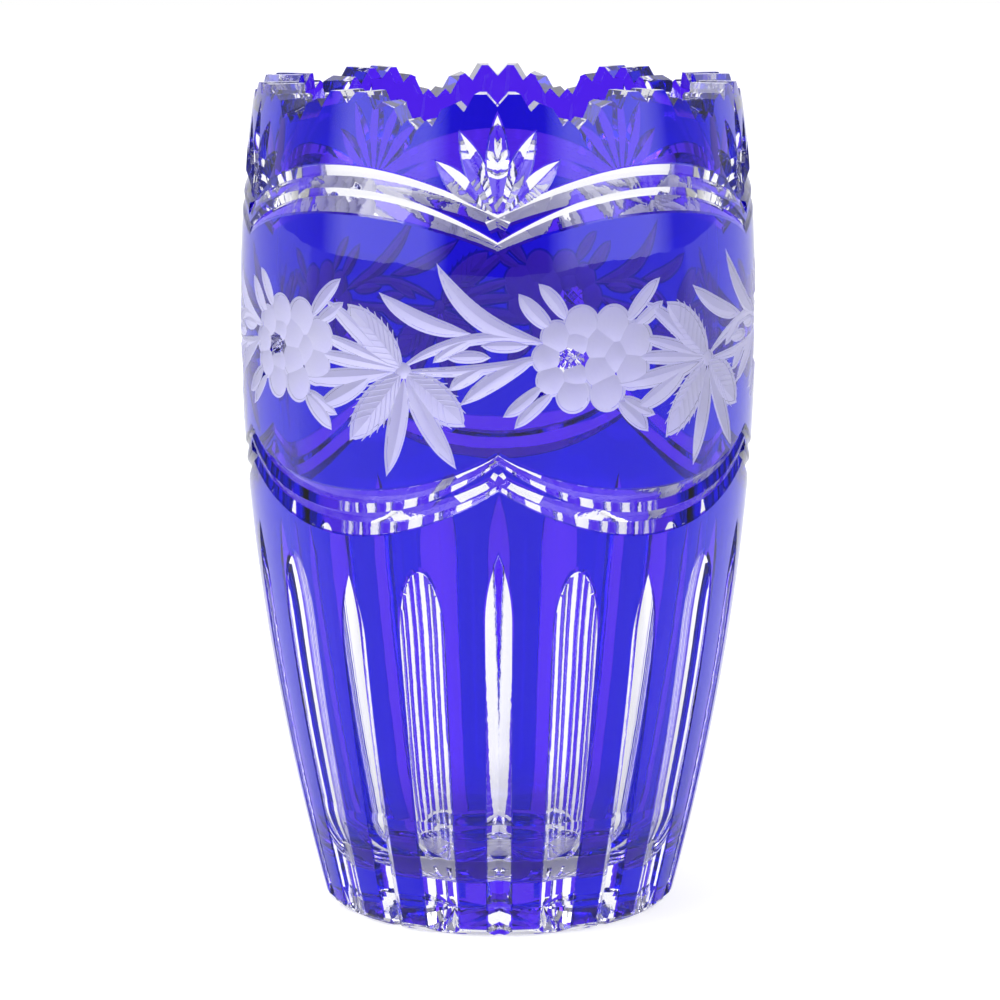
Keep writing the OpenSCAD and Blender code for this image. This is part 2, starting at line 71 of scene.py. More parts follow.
# body of revolution
FOOT_R, BELLY_R, RIM_R = 53.4, 77.6, 72.0
BELLY_Z = 172.0
LOWER_BEND, UPPER_BEND = 1.85, 2.3          # exponents of the side below and above the belly
WALL = 11.0
FLOOR_Z, FLOOR_ROUND = 15.0, 20.0
FOOT_BEVEL = 1.6
KICK_R, KICK_DEPTH = 43.0, 2.0              # the hollow under the foot
CASING, CASING_Z = 0.35, 2.2                # the casing's thickness, and where it starts
BOND_GAP = 0.03                             # keeps the two faces of the bond apart
SEGMENTS = 264
OUTER_STEPS, INNER_STEPS = 64, 30
SWAG_STEPS, BLADE_STEPS, LEAF_STEPS = 96, 32, 18

# the pattern repeats in five panels, and a panel starts at a cusp of the swags
PANELS = 5
PANEL = 360.0 / PANELS
HALF = PANEL / 2

# rim notches: each point is (degrees sideways, height over the rim)
PEAK_NOTCH = [(-3.8, 2), (0, -3.4), (3.8, 2)]
SIDE_NOTCH = [(-3.2, 2), (0, -4.8), (1.9, -2.5), (5.2, -4.2), (5.6, 2)]
VALLEY_NOTCH = [(-6.2, 2), (-5.7, -4.0), (-3.6, -9.0), (-2.2, -7.2), (0, -10.1),
                (2.2, -7.2), (3.6, -9.0), (5.7, -4.0), (6.2, 2)]
SIDE_NOTCH_ANGLE = 7.4
NOTCH_CLEAR = 8                             # how far a notch's cutter stands out of the wall

# swags: two grooves in each row, given by height and depth at mid panel, then at the cusp
SWAG_DEPTH, SWAG_ANGLE = 2.9, 56.0
SWAG_REACH = 9                              # from the cutter's edge to its back
UPPER_ROW, LOWER_ROW, ROW_GAP = 223.3, 129.4, 5.7
UPPER_1 = (UPPER_ROW + ROW_GAP / 2, SWAG_DEPTH, UPPER_ROW - 7.6, 1.3)
UPPER_2 = (UPPER_ROW - ROW_GAP / 2, SWAG_DEPTH, UPPER_ROW - 15.0, 0.95)
LOWER_1 = (LOWER_ROW + ROW_GAP / 2, SWAG_DEPTH, LOWER_ROW + 17.4, 0.95)
LOWER_2 = (LOWER_ROW - ROW_GAP / 2, SWAG_DEPTH, LOWER_ROW + 10.3, 1.4)

# fans: five blades above each upper cusp
FAN_STEP, FAN_Z = 22.5, 213.8
FAN_LENGTH, FAN_SHORTENING = 32.8, 2.6
FAN_DEPTH, FAN_ANGLE = 2.45, 56

# flutes: ten narrow and ten wide
NARROW_TOP_CUSP, NARROW_TOP_MID = 120.7, 112.0
NARROW_DEPTH, NARROW_FOOT_DEPTH, NARROW_ANGLE = 3.24, 2.8, 54.6
WIDE_TOP, WIDE_DEPTH, WIDE_FOOT_DEPTH = 115.5, 2.4, 1.4
WIDE_ROUND, WIDE_HALF_ARC = 14, 62
RUN_OUT = 22.0                              # height over which a flute runs out at its top
BELOW_FOOT = 3                              # how far a flute's cutter goes on below the foot

# the star under the foot
STAR_RAYS, STAR_TOP = 20, 4.4
STAR_SECTION = [(0, 0), (-2.6, -5), (2.6, -5)]

# the garland's leaves: angle and height where each starts and ends, width, and bow to one side
LEAF_HUB = (-20.3, 172.2)
EYE = (15.6, 176.0)
LEAVES = (
    # small leaves round the flower
    (11.8, 184.0, 4.3, 194.7, 3.9, 0.5), (14.8, 186.5, 8.5, 197.4, 3.2, -0.5),
    (27.8, 185.0, 36.7, 197.5, 3.2, 0.5), (29.6, 184.0, 37.4, 190.8, 3.0, -0.4),
    (26.9, 164.5, 35.5, 158.2, 3.0, -0.5), (25.6, 163.5, 33.8, 153.5, 4.2, 0.5),
    (9.8, 169.0, 1.0, 159.7, 3.2, 0.5), (12.0, 167.0, 3.4, 156.3, 3.0, -0.5),
    # leaves along the stems
    (10.4, 180.8, -12.9, 203.1, 4.4, 5.4), (-5.6, 183.5, -25.8, 194.3, 4.0, 2.4),
    (-13.7, 174.9, -4.6, 182.0, 2.8, 0.8), (-3.6, 180.0, 6.4, 180.0, 2.7, 0),
    (-10.9, 176.4, -1.5, 176.7, 2.4, 0.3), (-10.3, 167.1, -1.7, 174.4, 3.2, 0.6),
    (-8.0, 162.9, 8.6, 177.0, 4.0, 1.0),
    # broad and narrow leaves from the hub
    (-20.3, 172.2, -33.6, 190.4, 9.0, 0),
    (-20.3, 172.2, -33.4, 151.0, 8.6, 0), (-20.3, 172.2, -6.9, 156.9, 9.0, 0),
    (-20.0, 172.2, -24.6, 141.5, 5.0, 0.7), (-20.3, 172.2, -8.9, 144.6, 5.0, -0.9),
    (-23.0, 173.0, -39.6, 191.0, 3.8, -1.0), (-21.0, 172.4, -41.5, 181.0, 2.8, -0.6),
    (-22.0, 172.0, -48.1, 167.5, 4.2, 0.6), (-27.0, 171.2, -42.4, 159.7, 4.6, 0.8),
    # the two stems, and the one that joins the next panel
    (-21.5, 172.2, 13.0, 179.2, 2.0, 6.2), (-21.5, 172.2, 13.0, 177.4, 1.9, -1.6),
    (-19.5, 172.3, -45.0, 175.4, 3.0, -0.4),
)
BROAD_LEAF = 8                              # leaves wider than this have veins and flatter cuts
BROAD_TAN, NARROW_TAN = 3.0, 1.9            # half width over depth of a leaf's cut
PETALS = (                                  # angle, height and radius
    (17.7, 185.4, 4.9), (24.9, 184.8, 5.2), (30.3, 179.8, 5.3), (29.5, 171.9, 5.2), (23.6, 166.2, 5.1),
    (15.9, 165.7, 4.6), (11.2, 170.0, 4.0), (10.2, 176.4, 3.9), (12.3, 182.2, 4.2),
    (22.2, 179.3, 4.9), (22.0, 172.3, 4.9), (25.6, 175.9, 4.4), (16.4, 171.0, 3.5), (17.0, 180.6, 3.5),
)
PETAL_SPREAD, PETAL_DEPTH = 1.22, 1.5
VEINS, VEIN_STEP, VEIN_REACH = 7, 0.098, 0.27        # step and reach are parts of a leaf's length
ARC_UNIT = BELLY_R * D2R                    # length of one degree round the garland


def outer_r(z):
    """Radius of the uncut outside at a height."""
    if z < BELLY_Z:
        return BELLY_R - (BELLY_R - FOOT_R) * (1 - z / BELLY_Z) ** LOWER_BEND
    return BELLY_R - (BELLY_R - RIM_R) * ((z - BELLY_Z) / (HEIGHT - BELLY_Z)) ** UPPER_BEND


def slope(z):
    """Growth of the radius over one unit of height."""
    return outer_r(z + 0.5) - outer_r(z - 0.5)


def surface(angle, z):
    r = outer_r(z)
    return Vector((r * math.sin(angle * D2R), -r * math.cos(angle * D2R), z))


def normal(angle, z):
    s = slope(z)
    q = math.sqrt(1 + s * s)
    return Vector((math.sin(angle * D2R) / q, -math.cos(angle * D2R) / q, -s / q))


# ---------------------------------------------------------------- mesh helpers
def mesh_object(name, verts, faces, materials, index=0, matrix=None):
    """A new object. index is one material for every face, or a list with one for each."""
    if matrix is not None:
        verts = [matrix @ Vector(p) for p in verts]
    mesh = bpy.data.meshes.new(name)
    mesh.from_pydata([tuple(p) for p in verts], [], faces)
    mesh.validate()
    for material in materials:
        mesh.materials.append(material)
    indices = index if isinstance(index, list) else [index] * len(mesh.polygons)
    mesh.polygons.foreach_set("material_index", indices)
    return bpy.data.objects.new(name, mesh)


def facing(angle):
    """Turns +X to an angle round the vase."""
    return Matrix.Rotation((angle - 90) * D2R, 4, "Z")


def rot(axis, angle):
    return Matrix.Rotation(angle * D2R, 4, axis)


def move(x, y, z):
    return Matrix.Translation((x, y, z))


def revolve(poly, n, sweep=360.0):
    """A closed ring or sector turned about Z from a polygon of (radius, height)."""
    m = len(poly)
    full = abs(sweep - 360) < 1e-6
    rings = n if full else n + 1
    verts = []
    for i in range(rings):
        a = sweep * D2R * i / n
        verts += [(r * math.cos(a), r * math.sin(a), z) for r, z in poly]
    faces = []
    for i in range(n):
        j = (i + 1) % rings
        for k in range(m):
            l = (k + 1) % m
            faces.append((i * m + k, j * m + k, j * m + l, i * m + l))
    if not full:
        faces.append(tuple(range(m)))
        faces.append(tuple((rings - 1) * m + k for k in reversed(range(m))))
    return verts, faces


def turned_solid(poly, n, edge_index):
    """A solid turned from a profile that starts and ends on the axis. edge_index holds one
    material for each profile edge, and the result has one for each face."""
    q = len(poly) - 2
    verts = [(0, 0, poly[0][1])]
    for i in range(n):
        a = 2 * math.pi * i / n
        verts += [(r * math.cos(a), r * math.sin(a), z) for r, z in poly[1:-1]]
    top = len(verts)
    verts.append((0, 0, poly[-1][1]))
    faces, indices = [], []
    for i in range(n):
        a0 = 1 + i * q
        b0 = 1 + (i + 1) % n * q
        faces.append((0, b0, a0))
        for k in range(q - 1):
            faces.append((a0 + k, b0 + k, b0 + k + 1, a0 + k + 1))
        faces.append((a0 + q - 1, b0 + q - 1, top))
        indices += edge_index
    return verts, faces, indices


def prism(points, depth):
    """Extrudes a polygon of (y, z) along +X."""
    n = len(points)
    verts = [(0, y, z) for y, z in points] + [(depth, y, z) for y, z in points]
    faces = [tuple(reversed(range(n))), tuple(range(n, 2 * n))]
    for i in range(n):
        j = (i + 1) % n
        faces.append((i, j, n + j, n + i))
    return verts, faces


def loft(rows):
    """Joins rows of points, equally long, into a solid with flat ends."""
    m = len(rows[0])
    last = (len(rows) - 1) * m
    faces = []
    for i in range(0, last, m):
        for k in range(m):
            l = (k + 1) % m
            faces.append((i + k, i + l, i + m + l, i + m + k))
    faces.append(tuple(reversed(range(m))))
    faces.append(tuple(last + k for k in range(m)))
    return [p for row in rows for p in row], faces


def groove(stations, over=1.2):
    """A V cut swept over the surface, its cutter standing over the surface. Each station is
    (angle, height, half width, depth)."""
    least = 0.02
    path = [surface(a, z) for a, z, w, d in stations]
    rows = []
    for i, (a, z, w, d) in enumerate(stations):
        n = normal(a, z)
        along = (path[min(i + 1, len(path) - 1)] - path[max(i - 1, 0)]).normalized()
        w, d = max(w, least), max(d, least)
        k = (d + over) / d
        side = along.cross(n).normalized() * (w * k)
        rows.append([path[i] + side + n * over, path[i] - n * d, path[i] - side + n * over])
    return loft(rows)


def heights(z0, z1, n):
    return [z0 + (z1 - z0) * i / n for i in range(n + 1)]


# ---------------------------------------------------------------- materials
def add_node(tree, kind, operation=None, **inputs):
    """A shader node with the given values on its inputs."""
    node = tree.nodes.new("ShaderNode" + kind)
    if operation:
        node.operation = operation
    for socket, value in inputs.items():
        node.inputs[socket.replace("_", " ")].default_value = value
    return node


def principled(name, grain=None, **sockets):
    """A Principled material. grain is the scale, strength, distance and detail of a noise bump,
    in metres of the object."""
    material = bpy.data.materials.new(name)
    material.use_nodes = True
    tree = material.node_tree
    shader = tree.nodes["Principled BSDF"]
    for socket, value in sockets.items():
        shader.inputs[socket.replace("_", " ")].default_value = value
    if grain:
        scale, strength, distance, detail = grain
        place = add_node(tree, "TexCoord")
        noise = add_node(tree, "TexNoise", Scale=scale, Detail=detail)
        bump = add_node(tree, "Bump", Strength=strength, Distance=distance)
        tree.links.new(place.outputs["Object"], noise.inputs["Vector"])
        tree.links.new(noise.outputs["Fac"], bump.inputs["Height"])
        tree.links.new(bump.outputs["Normal"], shader.inputs["Normal"])
    return material


IOR = 1.54
CLEAR = (0.985, 0.985, 1.0, 1)
WHITE = (1, 1, 1, 1)
# What the casing lets through of each colour. A crossing tints by the root of the base colour,
# so the bond's base colour is the square of this.
FILM = (0.078, 0.017, 0.80)
polished = principled("crystal_polished", (60.0, 0.06, 0.0005, 3.0), Base_Color=CLEAR,
                      Roughness=0.0, IOR=IOR, Transmission_Weight=1.0)
wheel_cut = principled("crystal_wheel_cut", (260.0, 0.10, 0.0003, 3.0), Base_Color=CLEAR,
                       Roughness=0.015, IOR=IOR, Transmission_Weight=1.0)
# the body's face under the casing passes light on unbent, because the bond is glass to glass
under = principled("crystal_under_casing", Base_Color=WHITE, Roughness=0.0, IOR=1.0,
                   Transmission_Weight=1.0)
bond = principled("cobalt_bond", Base_Color=tuple(c ** 2 for c in FILM) + (1,), Roughness=0.0,
                  IOR=1.0, Transmission_Weight=1.0)
cobalt = principled("cobalt_polished", (45.0, 0.07, 0.0006, 3.0), Base_Color=WHITE,
                    Roughness=0.0, IOR=IOR, Transmission_Weight=1.0)
matte = principled("crystal_engraved_matte", (900.0, 0.35, 0.0002, 6.0),
                   Base_Color=(0.63, 0.62, 0.85, 1), Roughness=0.5, IOR=IOR, Transmission_Weight=0.30)
# the same place in both lists holds the outside, the wheel cuts, the engraving and the bond
OUTSIDE, CUT, ENGRAVED, BOND = range(4)
BODY_MATS = [polished, wheel_cut, matte, under]
CASE_MATS = [cobalt, wheel_cut, matte, bond]

# ---------------------------------------------------------------- cutters
wheel_cutters = []
garland_cutters = []


def add_cut(name, solid, matrix=None):
    wheel_cutters.append(mesh_object(name, *solid, BODY_MATS, CUT, matrix))


def engrave(name, solid, index=ENGRAVED):
    garland_cutters.append(mesh_object(name, *solid, BODY_MATS, index))


def rim_notch(angle, points):
    one_degree = RIM_R * D2R
    matrix = facing(angle) @ move(RIM_R - WALL - NOTCH_CLEAR, 0, HEIGHT)
    outline = [(y * one_degree, z) for y, z in points]
    add_cut("rim_notch", prism(outline, WALL + 2 * NOTCH_CLEAR), matrix)


def swag_frame(swag):
    """Tilt and height on the axis of the plane that a swag's wheel turns in."""
    z_mid, d_mid, z_cusp, d_cusp = swag
    t = (z_mid - z_cusp) / ((outer_r(z_mid) - d_mid) - (outer_r(z_cusp) - d_cusp) * math.cos(HALF * D2R))
    return t, z_mid - (outer_r(z_mid) - d_mid) * t


def swag_cut(angle, swag, past):
    """A V ring through the groove's three known points. past is its overrun beyond the cusps."""
    z_mid, d_mid, z_cusp, d_cusp = swag
    t, z0 = swag_frame(swag)
    tilt = math.atan(t) / D2R
    cos_tilt = math.cos(tilt * D2R)
    u_mid = (outer_r(z_mid) - d_mid) / cos_tilt
    u_cusp = (outer_r(z_cusp) - d_cusp) * math.cos(HALF * D2R) / cos_tilt
    v_cusp = (outer_r(z_cusp) - d_cusp) * math.sin(HALF * D2R)
    centre = (u_mid * u_mid - u_cusp * u_cusp - v_cusp * v_cusp) / (2 * (u_mid - u_cusp))
    ring_r = u_mid - centre
    sweep = math.atan2(v_cusp, u_cusp - centre) / D2R + past
    section = [(ring_r, 0)]
    for a in (-SWAG_ANGLE - tilt, SWAG_ANGLE - tilt):
        section.append((ring_r + SWAG_REACH * math.cos(a * D2R), SWAG_REACH * math.sin(a * D2R)))
    matrix = facing(angle) @ move(0, 0, z0) @ rot("Y", -tilt) @ move(centre, 0, 0) @ rot("Z", -sweep)
    add_cut("swag", revolve(section, SWAG_STEPS, 2 * sweep), matrix)


def fan_blade(angle, place):
    """A lens-shaped V cut. place counts the blades from the middle one."""
    lean = place * FAN_STEP
    length = FAN_LENGTH - abs(place) * FAN_SHORTENING
    z = FAN_Z + length / 2 * math.cos(lean * D2R)
    a = angle + math.atan(length / 2 * math.sin(lean * D2R) / outer_r(z)) / D2R
    wheel = length * length / (8 * FAN_DEPTH)
    half = math.atan((length / 2 + 2) / (wheel - FAN_DEPTH)) / D2R
    edge = 5                                # width of the wheel's sharpened edge
    side = edge * math.tan(FAN_ANGLE * D2R)
    section = [(wheel, 0), (wheel - edge, side), (wheel - edge, -side)]
    matrix = (facing(a) @ move(outer_r(z) - FAN_DEPTH, 0, z) @ rot("Y", math.atan(slope(z)) / D2R)
              @ rot("X", -lean) @ move(wheel, 0, 0) @ rot("X", 90) @ rot("Z", 180 - half))
    add_cut("fan_blade", revolve(section, BLADE_STEPS, 2 * half), matrix)


def narrow_section():
    reach = 9.0
    side = reach * math.tan(NARROW_ANGLE * D2R)
    return [(side, -reach), (0, 0), (-side, -reach)]


def wide_section():
    steps = 12
    back = [(-12.4, -12), (12.4, -12)]
    arc = [WIDE_HALF_ARC * D2R * k / steps for k in range(-steps, steps + 1)]
    return ([(-WIDE_ROUND * math.sin(g), -WIDE_ROUND * (1 - math.cos(g))) for g in arc]
            + back)


def flute(angle, top, depth, foot_depth, section):
    """An upright cut. Its depth grows over the straight run, then the wheel's curve runs out."""
    z0 = top - RUN_OUT
    s = slope(z0)
    q = math.sqrt(1 + s * s)
    dr = outer_r(top) - outer_r(z0) + depth
    dz = top - z0
    along, out = (s * dr + dz) / q, (dr - s * dz) / q
    wheel = (along * along + out * out) / (2 * out)
    wheel_r = outer_r(z0) - depth + wheel / q
    wheel_z = z0 - wheel * s / q
    straight, curved = 16, 20
    zs = [-BELOW_FOOT + (z0 + BELOW_FOOT) * i / straight for i in range(straight + 1)]
    zs += [z0 + (top - z0) * math.sin(90 * D2R * i / curved) for i in range(1, curved + 1)]
    zs.append(top + 1.2)
    rows = []
    for z in zs:
        if z <= z0:
            d = foot_depth + (depth - foot_depth) * (z + BELOW_FOOT) / (z0 + BELOW_FOOT)
        else:
            d = outer_r(z) - (wheel_r - math.sqrt(max(wheel * wheel - (z - wheel_z) ** 2, 0)))
        apex = Vector((0, -outer_r(z), z)) + Vector((0, d, 0))
        rows.append([apex + Vector((x, y, 0)) for x, y in section])
    add_cut("flute", loft(rows), rot("Z", angle))


def leaf_path(leaf, steps):
    """Points (angle, height, taper) along a leaf's bowed middle line."""
    a0, z0, a1, z1, width, bow = leaf
    dx, dz = (a1 - a0) * ARC_UNIT, z1 - z0
    length = math.hypot(dx, dz)
    nx, nz = -dz / length, dx / length
    points = []
    for i in range(steps + 1):
        t = i / steps
        taper = 1 - (2 * t - 1) ** 2
        s = bow * taper
        points.append((a0 + (t * dx + s * nx) / ARC_UNIT, z0 + t * dz + s * nz, taper))
    return points


def leaf_cut(angle, leaf, tan_half):
    stations = []
    for a, z, taper in leaf_path(leaf, LEAF_STEPS):
        w = leaf[4] / 2 * taper + 0.03 + CASING * tan_half * min(1.0, taper * 1.6)
        stations.append((a + angle, z, w, w / tan_half))
    engrave("leaf", groove(stations))


def veins(angle, leaf, tan_half):
    """Side veins from a broad leaf's middle to just past its edge, which they serrate."""
    a0, z0, a1, z1, width, bow = leaf
    dx, dz = (a1 - a0) * ARC_UNIT, z1 - z0
    length = math.hypot(dx, dz)
    ux, uz = dx / length, dz / length
    for k in range(VEINS):
        t0 = 0.04 + VEIN_STEP * k
        t1 = t0 + VEIN_REACH
        for side in (-1, 1):
            stations = []
            for j in range(9):
                f = j / 8
                t = t0 + (t1 - t0) * f
                taper = max(1 - (2 * t - 1) ** 2, 0.02)
                half_width = width / 2 * taper + 0.03 + CASING * tan_half * min(1.0, taper * 4)
                leaf_depth = half_width / tan_half
                s = half_width * 1.12 * f
                d = max(leaf_depth * (1 - s / half_width), 0) + 0.2 * (1 - 0.5 * f)
                x = t * dx - side * s * uz
                z = z0 + t * dz + side * s * ux
                stations.append((a0 + x / ARC_UNIT + angle, z, 1.3 * d, d))
            engrave("vein", groove(stations, over=0.9))


def scoop(angle, z, radius, depth, widen=1.0):
    """A shallow round dimple ground by a small wheel."""
    ball = (radius * radius + depth * depth) / (2 * depth)
    n = normal(angle, z)
    centre = surface(angle, z) + n * (ball - depth)
    reach = math.acos((ball - depth - 0.9) / ball)
    ex = Vector((0, 0, 1)).cross(n).normalized()
    ey = n.cross(ex)
    rings, seg = 7, 36
    verts = [centre - n * ball]
    for q in range(1, rings + 1):
        g = reach * q / rings
        for k in range(seg):
            f = 2 * math.pi * k / seg
            verts.append(centre - n * (ball * math.cos(g))
                         + (ex * (widen * math.cos(f)) + ey * math.sin(f)) * (ball * math.sin(g)))
    faces = []
    for k in range(seg):
        faces.append((0, 1 + (k + 1) % seg, 1 + k))
        for q in range(rings - 1):
            u = 1 + q * seg
            faces.append((u + k, u + (k + 1) % seg, u + seg + (k + 1) % seg, u + seg + k))
    faces.append(tuple(1 + (rings - 1) * seg + k for k in range(seg)))
    engrave("petal", (verts, faces))


def eye_cuts(angle):
    """Three crossed pairs of polished cuts in the flower's eye."""
    spread = 1.5 * 0.7
    for k in (-1, 0, 1):
        for lean in (-1, 1):
            stations = []
            for j in range(7):
                q = -3.4 + 6.8 * j / 6
                x = k * spread + q * 0.78
                z = EYE[1] + lean * q * 0.62 - lean * k * spread
                d = 1.72 - 0.1 * q * q
                stations.append((angle + EYE[0] + x / ARC_UNIT, z, 1.3 * d, max(d, 0.3)))
            engrave("eye", groove(stations, over=0.9), CUT)


def garland_unit(angle):
    for leaf in LEAVES:
        broad = leaf[4] > BROAD_LEAF
        leaf_cut(angle, leaf, BROAD_TAN if broad else NARROW_TAN)
        if broad:
            veins(angle, leaf, BROAD_TAN)
    for a, z, radius in PETALS:
        scoop(a + angle, z, radius * PETAL_SPREAD, PETAL_DEPTH)
    scoop(EYE[0] + angle, EYE[1], 3.3, 1.55, 1.15)
    eye_cuts(angle)
    scoop(LEAF_HUB[0] + angle, LEAF_HUB[1], 2.6, 1.2)


for i in range(2 * PANELS):
    rim_notch(i * HALF, PEAK_NOTCH)
    rim_notch(i * HALF + SIDE_NOTCH_ANGLE, SIDE_NOTCH)
    rim_notch(i * HALF - SIDE_NOTCH_ANGLE, [(-y, z) for y, z in reversed(SIDE_NOTCH)])
    rim_notch(i * HALF + HALF / 2, VALLEY_NOTCH)
for i in range(PANELS):
    mid_panel = (i + 0.5) * PANEL
    swag_cut(mid_panel, UPPER_1, 3)
    swag_cut(mid_panel, UPPER_2, 1)
    swag_cut(mid_panel, LOWER_1, 1)
    swag_cut(mid_panel, LOWER_2, 3)
for i in range(PANELS):
    for place in range(-2, 3):
        fan_blade(i * PANEL, place)
for i in range(2 * PANELS):
    narrow_top = NARROW_TOP_CUSP if i % 2 == 0 else NARROW_TOP_MID
    flute(i * HALF, narrow_top, NARROW_DEPTH, NARROW_FOOT_DEPTH, narrow_section())
    flute((i + 0.5) * HALF, WIDE_TOP, WIDE_DEPTH, WIDE_FOOT_DEPTH, wide_section())
for i in range(STAR_RAYS // 2):
    across = facing(i * 360 / STAR_RAYS) @ move(1 - KICK_R, 0, STAR_TOP)
    add_cut("star", prism(STAR_SECTION, 2 * (KICK_R - 1)), across)
for i in range(PANELS):
    garland_unit(i * PANEL)


# ---------------------------------------------------------------- blanks
INSIDE_TURN_Z = FLOOR_Z + FLOOR_ROUND       # where the inside's floor curve meets its wall


def body_blank():
    """The uncut body: kick, foot, outside, inside and floor, up and back round the profile."""
    kick = (KICK_R * KICK_R + KICK_DEPTH * KICK_DEPTH) / (2 * KICK_DEPTH)
    poly = [(0, KICK_DEPTH)]
    for i in range(1, 9):
        r = KICK_R * i / 8
        poly.append((r, KICK_DEPTH - kick + math.sqrt(kick * kick - r * r)))
    poly += [(FOOT_R - FOOT_BEVEL, 0.0), (outer_r(FOOT_BEVEL), FOOT_BEVEL), (outer_r(CASING_Z), CASING_Z)]
    edges = [OUTSIDE] * (len(poly) - 1)
    poly += [(outer_r(z) - CASING - BOND_GAP, z) for z in heights(CASING_Z, HEIGHT, OUTER_STEPS)]
    edges += [OUTSIDE] + [BOND] * OUTER_STEPS
    poly += [(outer_r(z) - WALL, z) for z in reversed(heights(INSIDE_TURN_Z, HEIGHT, INNER_STEPS))]
    floor_r = outer_r(INSIDE_TURN_Z) - WALL - FLOOR_ROUND
    for i in range(13, -1, -1):
        a = 90 * D2R * i / 14
        poly.append((floor_r + FLOOR_ROUND * math.sin(a), INSIDE_TURN_Z - FLOOR_ROUND * math.cos(a)))
    poly += [(floor_r * f, FLOOR_Z) for f in (0.66, 0.33, 0)]
    edges += [OUTSIDE] * (len(poly) - 1 - len(edges))
    verts, faces, indices = turned_solid(poly, SEGMENTS, edges)
    return mesh_object("vase_crystal_body", verts, faces, BODY_MATS, indices)


def casing_blank():
    """The whole casing, a thin sleeve, before the cuts part it."""
    zs = heights(CASING_Z, HEIGHT, OUTER_STEPS)
    ring = [(outer_r(z), z) for z in zs] + [(outer_r(z) - CASING, z) for z in reversed(zs)]
    edges = [OUTSIDE] * OUTER_STEPS + [CUT] + [BOND] * OUTER_STEPS + [CUT]
    verts, faces = revolve(ring, SEGMENTS)
    return mesh_object("casing", verts, faces, CASE_MATS, edges * SEGMENTS)


def face_outward(o):
    bm = bmesh.new()
    bm.from_mesh(o.data)
    bmesh.ops.recalc_face_normals(bm, faces=bm.faces)
    bmesh.ops.triangulate(bm, faces=[face for face in bm.faces if len(face.verts) > 4])
    bm.to_mesh(o.data)
    bm.free()


def cut_away(blanks, tools):
    """Cuts every tool from every blank, then removes the tools."""
    holder = bpy.data.collections.new("cutters")
    scene.collection.children.link(holder)
    for o in blanks + tools:
        face_outward(o)
    for o in tools:
        holder.objects.link(o)
    for o in blanks:
        scene.collection.objects.link(o)
        boolean = o.modifiers.new("cut", "BOOLEAN")
        boolean.operation = "DIFFERENCE"
        boolean.operand_type = "COLLECTION"
        boolean.collection = holder
        boolean.solver = "MANIFOLD"
    deps = bpy.context.evaluated_depsgraph_get()
    for o in blanks:
        mesh = bpy.data.meshes.new_from_object(o.evaluated_get(deps), depsgraph=deps)
        o.modifiers.clear()
        o.data = mesh
    for o in list(holder.objects):
        bpy.data.objects.remove(o)
    bpy.data.collections.remove(holder)


scene = bpy.context.scene
body = body_blank()
casing = casing_blank()
cut_away([body, casing], wheel_cutters + garland_cutters)


# ---------------------------------------------------------------- separating the cobalt casing
def swag_z(swag, theta):
    """Height of a groove's middle line at an angle."""
    t, z0 = swag_frame(swag)
    phi = ((theta % PANEL) - HALF) * D2R
    z = np.full_like(theta, swag[0])
    for _ in range(6):
        z = z0 + t * (np.array([outer_r(q) for q in z]) - 1.5) * np.cos(phi)
    return z


SWAG_ANGLES = np.arange(0, PANEL + 0.1, 0.25)
SWAG_LINES = [swag_z(swag, SWAG_ANGLES) for swag in (UPPER_1, UPPER_2, LOWER_1, LOWER_2)]
STEM_START, STEM_END, STEM_FOOT = -21.5, 13.0, 172.2


def stem_z(u, top, bow, fall):
    """Height of a stem at an angle u from the cusp, and of its line on past both its ends."""
    t = np.clip((u - STEM_START) / (STEM_END - STEM_START), 0, 1)
    bowed = STEM_FOOT + (top - STEM_FOOT) * t + bow * (1 - (2 * t - 1) ** 2)
    before = STEM_FOOT + 0.1 - (u - STEM_START - 2) * 0.12
    after = top - (u - STEM_END) * fall
    return np.where(u < STEM_START, before, np.where(u > STEM_END, after, bowed))


COLLAR, UPPER_KITE, LOWER_KITE, SKIRT = 0, 1, 5, 6
FIELDS = 7


def field_of(p):
    """Which field of cobalt each point is in: 0 at the rim to 6 at the foot."""
    a = np.degrees(np.arctan2(p[:, 0], -p[:, 1])) % PANEL
    u = np.where(a > HALF, a - PANEL, a)
    upper_1, upper_2, lower_1, lower_2 = (np.interp(a, SWAG_ANGLES, line) for line in SWAG_LINES)
    lines = (upper_1, upper_2, stem_z(u, 179.2, 6.2, 0.2), stem_z(u, 177.4, -1.6, 0.1), lower_1, lower_2)
    return sum((p[:, 2] < line).astype(int) for line in lines)


def mesh_arrays(mesh):
    """Points, corner points, first corners and corner counts of faces, and face materials."""
    v = np.empty(len(mesh.vertices) * 3)
    mesh.vertices.foreach_get("co", v)
    corners = np.empty(len(mesh.loops), dtype=np.int64)
    mesh.loops.foreach_get("vertex_index", corners)
    per_face = []
    for name in ("loop_start", "loop_total", "material_index"):
        values = np.empty(len(mesh.polygons), dtype=np.int64)
        mesh.polygons.foreach_get(name, values)
        per_face.append(values)
    return v.reshape(-1, 3), corners, *per_face


def islands(mesh):
    """A number for each point, the same over each connected part."""
    edges = np.empty(len(mesh.edges) * 2, dtype=np.int64)
    mesh.edges.foreach_get("vertices", edges)
    edges = edges.reshape(-1, 2)
    label = np.arange(len(mesh.vertices))
    while True:
        low = np.minimum(label[edges[:, 0]], label[edges[:, 1]])
        new = label.copy()
        np.minimum.at(new, edges[:, 0], low)
        np.minimum.at(new, edges[:, 1], low)
        new = new[new]
        if (new == label).all():
            return label
        label = new


def volume(v, corners, start, count, faces):
    total = 0.0
    for f in faces:
        p = v[corners[start[f]:start[f] + count[f]]]
        for k in range(1, len(p) - 1):
            total += np.dot(p[0], np.cross(p[k], p[k + 1]))
    return total / 6


